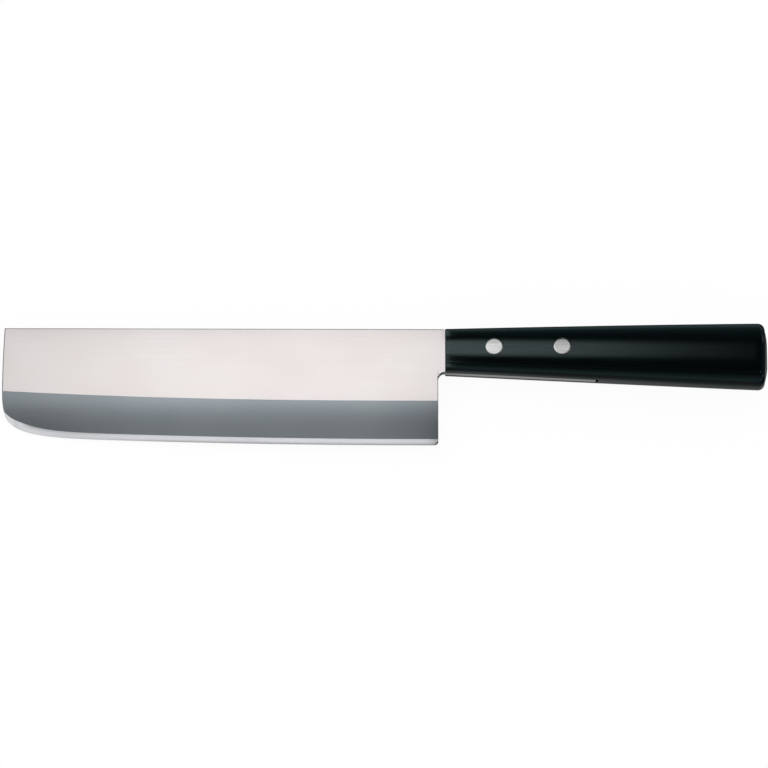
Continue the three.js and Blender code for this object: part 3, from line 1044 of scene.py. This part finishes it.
def loft(rings):
    """A closed body through rings of points. A ring turns by the right hand about the way the rings go."""
    bm = bmesh.new()
    rows = [[bm.verts.new(point) for point in ring] for ring in rings]
    for row, after in zip(rows, rows[1:]):
        for i in range(len(row)):
            bm.faces.new((row[i - 1], row[i], after[i], after[i - 1]))
    bm.faces.new(rows[0][::-1])
    bm.faces.new(rows[-1])
    return bm


def handle_ring(x, inset, at_x=None):
    """The handle's section at x, drawn in all round by inset, as evenly spaced points."""
    angle = np.linspace(0, 2 * np.pi, FINE_POINTS)
    up, out = np.cos(angle), np.sin(angle)
    half_height = handle_half_height(x) - inset
    half = handle_half_thickness(x) - inset
    y = handle_middle(x) + half_height * np.sign(up) * np.abs(up) ** (2 / side_crown(x))
    z = half * np.sign(out) * np.abs(out) ** (2 / BELLY_FLATNESS)
    section = walk(np.column_stack([y, z]), np.linspace(0, 1, SECTION_POINTS, endpoint=False))
    return np.column_stack([np.full(SECTION_POINTS, x if at_x is None else at_x), section])


quarter = np.radians(np.linspace(0, 90, ROUND_STEPS + 1))
rings = [handle_ring(FRONT_ROUND * (1 - np.cos(a)), FRONT_ROUND * (1 - np.sin(a))) for a in quarter]
rim_start = HANDLE_LENGTH - BUTT_DOME - BUTT_ROUND
rings += [handle_ring(x, 0) for x in np.linspace(FRONT_ROUND, rim_start, BODY_RINGS)[1:]]
for a in quarter[1:]:
    rings.append(handle_ring(rim_start + BUTT_ROUND * np.sin(a), BUTT_ROUND * (1 - np.cos(a))))
rim_end = rim_start + BUTT_ROUND
left_to_middle = handle_half_thickness(rim_end) - BUTT_ROUND
for share in np.linspace(0, DOME_SHARE, DOME_RINGS)[1:]:
    bulge = BUTT_DOME * (1 - (1 - share) ** 2)
    rings.append(handle_ring(rim_end, BUTT_ROUND + left_to_middle * share, rim_end + bulge))
handle = drawn_object("fine_handle", loft(rings), black_wood)
print(len(rings), "rings of", SECTION_POINTS, "points")

# %% [markdown]
# The slot for the tang and the stepped rivet holes are cut with booleans, as they are cut in the real wood.
# There are three cutters, each its own small loft: one along the handle for the slot, two across it for the
# rivets. The slot's cutter flares at its mouth, because a sawn slot is eased with a stroke of sandpaper.

# %% Cut the slot and the holes
SLOT_HALF, SLOT_END, SLOT_TOP = 1.4, 57.9, -3.85
SLOT_LIP, SLOT_RINGS = 0.2, 40
HEAD_RADIUS, SHANK_RADIUS, FIT = 3.35, 2.2, 0.1
HEAD_SEAT = 4.4
PAST = 2
CIRCLE_POINTS = 72
HANDLE_SHARP = math.radians(30)


def circle(x, radius, z):
    """A ring of points round a rivet's axis."""
    ring = arc((x, -RIVET_DEPTH), radius, 0, 360, CIRCLE_POINTS + 1)[:-1]
    return np.column_stack([ring, np.full(CIRCLE_POINTS, z)])


def slot_ring(x):
    """The slot's section at x: straight walls that flare below the lip."""
    lip, mouth = handle_belly(x) + SLOT_LIP, handle_belly(x) - PAST
    flare = SLOT_HALF + SLOT_LIP + PAST
    half = [(SLOT_TOP, SLOT_HALF), (lip, SLOT_HALF), (mouth, flare)]
    near = [(x, y, z) for y, z in half]
    return [(x, SLOT_TOP, -SLOT_HALF), *near, (x, mouth, -flare), (x, lip, -SLOT_HALF)]


slot_rings = [slot_ring(x) for x in np.linspace(-PAST, SLOT_END, SLOT_RINGS)]
cutters = [drawn_object("slot cutter", loft(slot_rings))]
past = BUTT_THICKNESS / 2 + PAST
seat = HEAD_SEAT - FIT
bore, recess = SHANK_RADIUS + FIT, HEAD_RADIUS + FIT
for place, x in RIVET_PLACES.items():
    steps = [(recess, -past), (recess, -seat), (bore, -seat), (bore, seat), (recess, seat), (recess, past)]
    cutters.append(drawn_object(f"{place} rivet cutter", loft([circle(x, r, z) for r, z in steps])))
for cutter in cutters:
    cut = handle.modifiers.new(cutter.name, "BOOLEAN")
    cut.operation = "DIFFERENCE"
    cut.solver = "EXACT"
    cut.object = cutter
finish_piece(handle, "handle")
handle.data.set_sharp_from_angle(angle=HANDLE_SHARP)
for cutter in cutters:
    bpy.data.objects.remove(cutter)

# %% [markdown]
# ## The rivets
# Each rivet is two halves that press into each other: a pin and a tube, with a head on each side of the
# handle. They are turned, so each is a loft of circles. The last circles follow the handle's surface
# instead of lying level, because the heads were ground down together with the wood. But steel yields less
# than wood, so they stay a little flatter, and they lean a little towards the spine. A tiny rounded rim
# catches the light.

# %% Turn the rivets
PIN_RADIUS, PIN_GAP, PIN_TAPER, TUBE_FLOOR = 1.4, 0.6, 0.4, 0.5
HEAD_ROUND, HEAD_STEPS = 0.16, 5
HEAD_CROWN, HEAD_LEAN = 0.5, 1.2
HEAD_SHARES = (0.86, 0.7, 0.5, 0.3, 0.1)
RIVET_SHARP = math.radians(40)


def handle_side(x, y):
    """Height of the handle's side over the middle of the steel."""
    share = np.abs((y - handle_middle(x)) / handle_half_height(x)) ** side_crown(x)
    return handle_half_thickness(x) * (1 - share) ** (1 / BELLY_FLATNESS)


def make_rivet(node, x, profile, side):
    """A rivet half: its profile of (radius, height) from the shank up, then its head, on side 1 or -1."""
    rings = [circle(x, radius, z) for radius, z in profile]
    turns = np.radians(np.linspace(0, 90, HEAD_STEPS + 1))
    crown = [(HEAD_RADIUS - HEAD_ROUND * (1 - math.cos(a)), HEAD_ROUND * (1 - math.sin(a))) for a in turns]
    crown += [((HEAD_RADIUS - HEAD_ROUND) * share, 0) for share in HEAD_SHARES]
    for radius, drop in crown:
        ring = circle(x, radius, 0)
        ground_at = HEAD_CROWN * (ring[:, 1] + RIVET_DEPTH) - RIVET_DEPTH + HEAD_LEAN
        ring[:, 2] = handle_side(ring[:, 0], ground_at) - drop
        rings.append(ring)
    if side < 0:
        rings = [(ring * (1, 1, -1))[::-1] for ring in rings]
    rivet = drawn_object("fine_" + node, loft(rings), rivet_steel)
    rivet.data.set_sharp_from_angle(angle=RIVET_SHARP)
    finish_piece(rivet, node)


shank_end = PIN_GAP - HEAD_SEAT
tube_bore = PIN_RADIUS + FIT
bore_end = HEAD_SEAT - TUBE_FLOOR + PIN_GAP
under_head = [(HEAD_RADIUS, HEAD_SEAT)]
pin = [(PIN_RADIUS - PIN_TAPER, shank_end), (PIN_RADIUS, shank_end + PIN_TAPER), (PIN_RADIUS, HEAD_SEAT)]
tube = [(tube_bore, bore_end), (tube_bore, shank_end), (SHANK_RADIUS, shank_end), (SHANK_RADIUS, HEAD_SEAT)]
for place, x in RIVET_PLACES.items():
    make_rivet(f"rivet_{place}_male", x, pin + under_head, 1)
    make_rivet(f"rivet_{place}_female", x, tube + under_head, -1)
